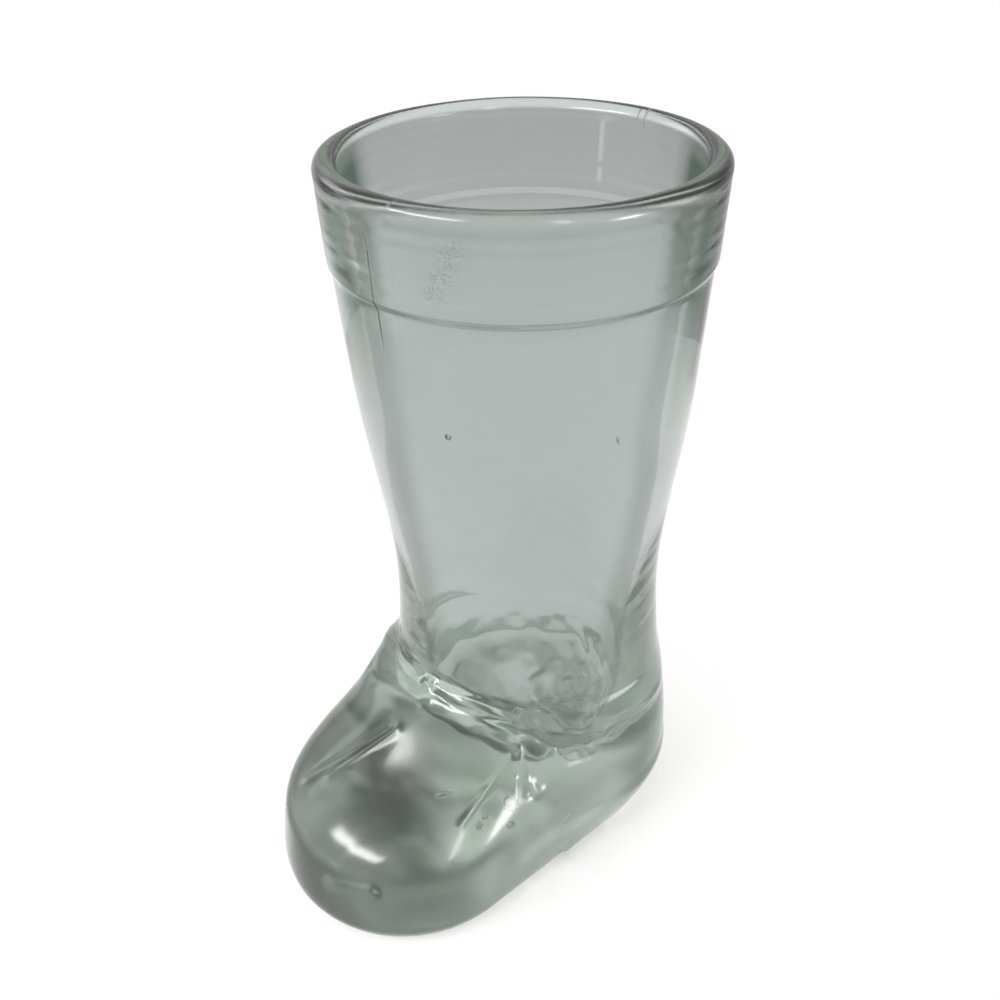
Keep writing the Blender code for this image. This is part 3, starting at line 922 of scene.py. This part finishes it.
def background_rays(tree):
    """1 for the rays that show the background: the camera's, and those off or through glass."""
    path = add_node(tree, "ShaderNodeLightPath").outputs
    shown = path["Is Camera Ray"]
    for kind in ("Is Glossy Ray", "Is Transmission Ray"):
        either = add_node(tree, "ShaderNodeMath", {0: shown, 1: path[kind]}, operation="MAXIMUM")
        shown = either.outputs[0]
    return shown


def studio_world(scene, colours):
    """A white backdrop all round that also gives the soft fill light."""
    world = bpy.data.worlds.new("white_backdrop")
    scene.world = world
    world.use_nodes = True
    tree = world.node_tree
    tree.nodes.clear()
    white = add_node(tree, "ShaderNodeBackground", {"Color": colours.backdrop, "Strength": 1.0})
    add_node(tree, "ShaderNodeOutputWorld", {"Surface": white.outputs[0]})


CARD_RADIUS = 0.40
# Heights on the card and how much light its painted glow gives there
CARD_GREYS = (
    (-0.25, 1.00),
    (-0.14, 1.00),
    (-0.09, 0.90),
    (-0.05, 0.60),
    (-0.02, 0.55),
    (0.01, 0.65),
    (0.05, 0.72),
    (0.14, 0.52),
    (0.19, 0.60),
    (0.25, 0.95),
    (0.33, 0.95),
    (0.42, 0.42),
    (0.52, 0.45),
    (0.60, 1.00),
)
# Degrees round from the toe, how bright the card's painted light is there, and how far it has
# turned from white into card: it is open in front and painted darker on one side
CARD_ROUND = (
    (-180, 0.65, 1.0),
    (-164, 1.00, 1.0),
    (-128, 1.00, 1.0),
    (-120, 1.10, 1.0),
    (-104, 1.50, 1.0),
    (-97, 1.25, 1.0),
    (-87, 0.60, 1.0),
    (-70, 0.66, 0.8),
    (-45, 0.85, 0.0),
    (120, 0.80, 0.0),
    (145, 0.80, 0.8),
    (166, 0.47, 1.0),
    (180, 0.65, 1.0),
)
# Higher up, painted light spills all the way round: where that starts, where it is full, and
# the least light that the card then gives
SPILL_START = 0.19
SPILL_FULL = 0.25
SPILL_LIGHT = 0.75


def fill_ramp(ramp, stops):
    """Set a colour ramp's stops, each a place from 0 to 1, a grey and an alpha."""
    elements = ramp.color_ramp.elements
    while len(elements) < len(stops):
        elements.new(0.5)
    for element, (place, grey, alpha) in zip(elements, stops):
        element.position = place
        element.color = (grey, grey, grey, alpha)


def studio_card(colours):
    """A ring of glowing card behind the glass, painted in graduated greys of light and shade,
    which gives clear glass its edges. It stands outside every view and the camera sees past it."""
    low, high = CARD_GREYS[0][0], CARD_GREYS[-1][0]
    tall = high - low
    bpy.ops.mesh.primitive_cylinder_add(
        vertices=96,
        radius=CARD_RADIUS,
        depth=tall,
        end_fill_type="NOTHING",
        location=(0.0, 0.0, (high + low) / 2),
    )
    card = bpy.context.object
    card.name = "grey_card"
    card.visible_camera = False
    card.visible_shadow = False
    card.visible_diffuse = False
    material, tree = bare_material("glowing_card_painted_light")
    place = add_node(tree, "ShaderNodeTexCoord").outputs
    up = add_node(tree, "ShaderNodeSeparateXYZ", {"Vector": place["Generated"]}).outputs["Z"]
    ramp = add_node(tree, "ShaderNodeValToRGB", {"Fac": up})
    fill_ramp(ramp, [((height - low) / tall, grey, 1.0) for height, grey in CARD_GREYS])
    across = add_node(tree, "ShaderNodeSeparateXYZ", {"Vector": place["Object"]}).outputs
    forward = add_node(
        tree, "ShaderNodeMath", {0: across["Y"], 1: -1.0}, operation="MULTIPLY"
    ).outputs[0]
    azimuth = add_node(
        tree, "ShaderNodeMath", {0: across["X"], 1: forward}, operation="ARCTAN2"
    ).outputs[0]
    turned = add_node(
        tree, "ShaderNodeMapRange", {"Value": azimuth, "From Min": -math.pi, "From Max": math.pi}
    ).outputs["Result"]
    painted_light_round = add_node(tree, "ShaderNodeValToRGB", {"Fac": turned})
    fill_ramp(painted_light_round, [(degrees / 360 + 0.5, light, share) for degrees, light, share in CARD_ROUND])
    spill = add_node(
        tree,
        "ShaderNodeMapRange",
        {
            "Value": up,
            "From Min": (SPILL_START - low) / tall,
            "From Max": (SPILL_FULL - low) / tall,
            "To Max": SPILL_LIGHT,
        },
    ).outputs["Result"]
    strength = add_node(
        tree, "ShaderNodeMath", {0: painted_light_round.outputs["Color"], 1: spill}, operation="MAXIMUM"
    ).outputs[0]
    grey = add_node(
        tree,
        "ShaderNodeVectorMath",
        {0: ramp.outputs["Color"], "Scale": strength},
        operation="SCALE",
    ).outputs[0]
    shown = add_node(
        tree,
        "ShaderNodeMix",
        {0: painted_light_round.outputs["Alpha"], 6: colours.backdrop, 7: grey},
        data_type="RGBA",
    ).outputs[2]
    # The card glows with this painted light and shade; no lamp lights it.
    glow = add_node(tree, "ShaderNodeEmission", {"Color": shown})
    add_node(tree, "ShaderNodeOutputMaterial", {"Surface": glow.outputs[0]})
    card.data.materials.append(material)


FLOOR_RADIUS = 0.15
FLOOR_GAP = 0.0001
# Size of the painted patches of light that stand for what the glass gathers on the table
# under it, and their strength up and down
PATCH_SIZE = 7 * MM
PATCH_LIGHT = 0.35
FLOOR_SHADE = (-0.002, -0.008, 0.0)
# Middle of the painted spot of light under the bowl
FLOOR_BRIGHT = (-0.006, 0.0125, 0.0)
FLOOR_MIDDLE = (0.0, 0.0, 0.0)
# Painted fades of shadow and light on the floor: the place each is measured from, how far
# from there it starts and ends, and its strength at both
FLOOR_FADES = {
    # Painted shadow: least of the backdrop shows under the ball of the foot, and most well clear of the
    # boot.
    "near": (FLOOR_SHADE, 0.002, 0.024, 0.03, 0.48),
    "clear": (FLOOR_SHADE, 0.026, 0.060, 0.00, 0.52),
    # The painted patches of light stay under the boot.
    "under": (FLOOR_MIDDLE, 0.014, 0.026, 1.00, 0.00),
    # A painted spot of light, as if the bowl above threw it.
    "spot": (FLOOR_BRIGHT, 0.002, 0.008, 0.70, 0.00),
    # Painted contact shadow: the floor's own colour is darkened where the sole touches, as hardly any
    # light gets in.
    "shut": (FLOOR_SHADE, 0.003, 0.017, 0.22, 1.00),
}


def studio_floor(colours):
    """A round pale table top, just under the sole, with a painted shadow and painted patches of light
    under the boot.
    """
    bpy.ops.mesh.primitive_circle_add(
        vertices=128, radius=FLOOR_RADIUS, fill_type="NGON", location=(0.0, 0.0, -FLOOR_GAP)
    )
    floor = bpy.context.object
    floor.name = "floor"
    material, tree = bare_material("floor_with_painted_shadow_and_light")
    place = add_node(tree, "ShaderNodeTexCoord").outputs["Object"]
    fades = {}
    for name, (spot, start, end, inner, outer) in FLOOR_FADES.items():
        away = add_node(tree, "ShaderNodeVectorMath", {0: place, 1: spot}, operation="DISTANCE")
        fades[name] = add_node(
            tree,
            "ShaderNodeMapRange",
            {
                "Value": away.outputs["Value"],
                "From Min": start,
                "From Max": end,
                "To Min": inner,
                "To Max": outer,
            },
            interpolation_type="SMOOTHSTEP",
        ).outputs["Result"]
    patches = add_node(
        tree, "ShaderNodeTexNoise", {"Vector": place, "Scale": 1 / PATCH_SIZE, "Detail": 3.0}
    ).outputs["Fac"]
    painted_light_patches = add_node(
        tree,
        "ShaderNodeMapRange",
        {
            "Value": patches,
            "From Min": 0.35,
            "From Max": 0.65,
            "To Min": -PATCH_LIGHT,
            "To Max": PATCH_LIGHT,
        },
    ).outputs["Result"]
    # Painted patches of light, laid over the painted shadow under the boot
    uneven = add_node(
        tree,
        "ShaderNodeMath",
        {0: painted_light_patches, 1: fades["under"], 2: fades["near"]},
        operation="MULTIPLY_ADD",
    ).outputs[0]
    # Adds the painted spot of light.
    lighter = add_node(
        tree, "ShaderNodeMath", {0: uneven, 1: fades["spot"]}, operation="ADD"
    ).outputs[0]
    # The painted shadow, patches and spot set how much of the white backdrop shows on the floor.
    white = add_node(
        tree, "ShaderNodeMath", {0: lighter, 1: fades["clear"]}, operation="ADD", use_clamp=True
    ).outputs[0]
    share = add_node(
        tree, "ShaderNodeMath", {0: background_rays(tree), 1: white}, operation="MULTIPLY"
    ).outputs[0]
    # Painted contact shadow in the floor's own colour under the sole
    shaded = add_node(
        tree,
        "ShaderNodeVectorMath",
        {0: tuple(colours.floor)[:3], "Scale": fades["shut"]},
        operation="SCALE",
    ).outputs[0]
    card = add_node(tree, "ShaderNodeBsdfDiffuse", {"Color": shaded}).outputs[0]
    glow = add_node(tree, "ShaderNodeEmission", {"Color": colours.backdrop}).outputs[0]
    mix = add_node(tree, "ShaderNodeMixShader", {0: share, 1: card, 2: glow}).outputs[0]
    add_node(tree, "ShaderNodeOutputMaterial", {"Surface": mix})
    floor.data.materials.append(material)


# Soft lamps: degrees round from the toe, degrees up, distance, width and height, and watts
SOFT_BOXES = {
    "front_box": (-14, 37, 0.36, (0.25, 0.045), 0.75),
    "side_box": (-78, 24, 0.36, (0.18, 0.12), 0.17),
    "strip_box": (66, 30, 0.36, (0.018, 0.18), 0.14),
    # This one stands behind the card, so it glows on the duller foot more than on the leg.
    "low_box": (99, 3, 0.60, (0.12, 0.15), 1.2),
    "low_strip": (-14, 0, 0.36, (0.024, 0.04), 0.012),
}
# The one lamp that also shows through the glass, as the streak inside the mouth
GLINT = "low_strip"


def soft_box(scene, name):
    """A rectangular soft lamp that faces the glass."""
    degrees_round, degrees_up, distance, size, watts = SOFT_BOXES[name]
    data = bpy.data.lights.new(name, "AREA")
    data.shape = "RECTANGLE"
    data.size, data.size_y = size
    data.energy = watts
    lamp = bpy.data.objects.new(name, data)
    # It shows as a reflection, and not as a lamp behind the glass.
    lamp.visible_camera = False
    lamp.visible_transmission = name == GLINT
    scene.collection.objects.link(lamp)
    azimuth, elevation = math.radians(degrees_round), math.radians(degrees_up)
    flat = math.cos(elevation)
    way = Vector((math.sin(azimuth) * flat, -math.cos(azimuth) * flat, math.sin(elevation)))
    middle = Vector((0.0, 0.0, CAD_HIGH.z / 2))
    lamp.location = middle + way * distance
    lamp.rotation_mode = "QUATERNION"
    lamp.rotation_quaternion = way.to_track_quat("Z", "Y")


GLASS_BOUNCES = 24
MIRROR_BOUNCES = 12


class BOOT_OT_stage(bpy.types.Operator):
    """Build the studio: floor, white backdrop, grey card, soft lamps and camera"""

    bl_idname = "boot.stage"
    bl_label = "Set the studio"

    def execute(self, context):
        scene = context.scene
        colours = scene.boot_colours
        studio_floor(colours)
        studio_world(scene, colours)
        studio_card(colours)
        for name in SOFT_BOXES:
            soft_box(scene, name)
        studio_camera(scene)
        scene.view_settings.view_transform = "Standard"
        # Light goes through many skins of glass before it leaves the foot.
        scene.cycles.max_bounces = GLASS_BOUNCES
        scene.cycles.transmission_bounces = GLASS_BOUNCES
        scene.cycles.glossy_bounces = MIRROR_BOUNCES
        return {"FINISHED"}


class BOOT_PT_panel(bpy.types.Panel):
    """Sizes, colours and build steps of the boot shot glass"""

    bl_idname = "BOOT_PT_panel"
    bl_label = "Boot shot glass"
    bl_space_type = "VIEW_3D"
    bl_region_type = "UI"
    bl_category = "Boot glass"

    def draw(self, context):
        layout = self.layout
        for group in ("boot_shape", "boot_marks", "boot_colours"):
            box = layout.box()
            settings = getattr(context.scene, group)
            for name in settings.__annotations__:
                box.prop(settings, name)
        for operator in (BOOT_OT_glass, BOOT_OT_seeds, BOOT_OT_stage):
            layout.operator(operator.bl_idname)


CLASSES = (BootShape, BootMarks, BootColours, BOOT_OT_glass, BOOT_OT_seeds, BOOT_OT_stage, BOOT_PT_panel)
GROUPS = {"boot_shape": BootShape, "boot_marks": BootMarks, "boot_colours": BootColours}


def register():
    for cls in CLASSES:
        bpy.utils.register_class(cls)
    for name, group in GROUPS.items():
        setattr(bpy.types.Scene, name, bpy.props.PointerProperty(type=group))


def unregister():
    for name in GROUPS:
        delattr(bpy.types.Scene, name)
    for cls in reversed(CLASSES):
        bpy.utils.unregister_class(cls)


def main():
    register()
    bpy.ops.boot.glass()
    bpy.ops.boot.seeds()
    bpy.ops.boot.stage()


if __name__ == "__main__":
    main()
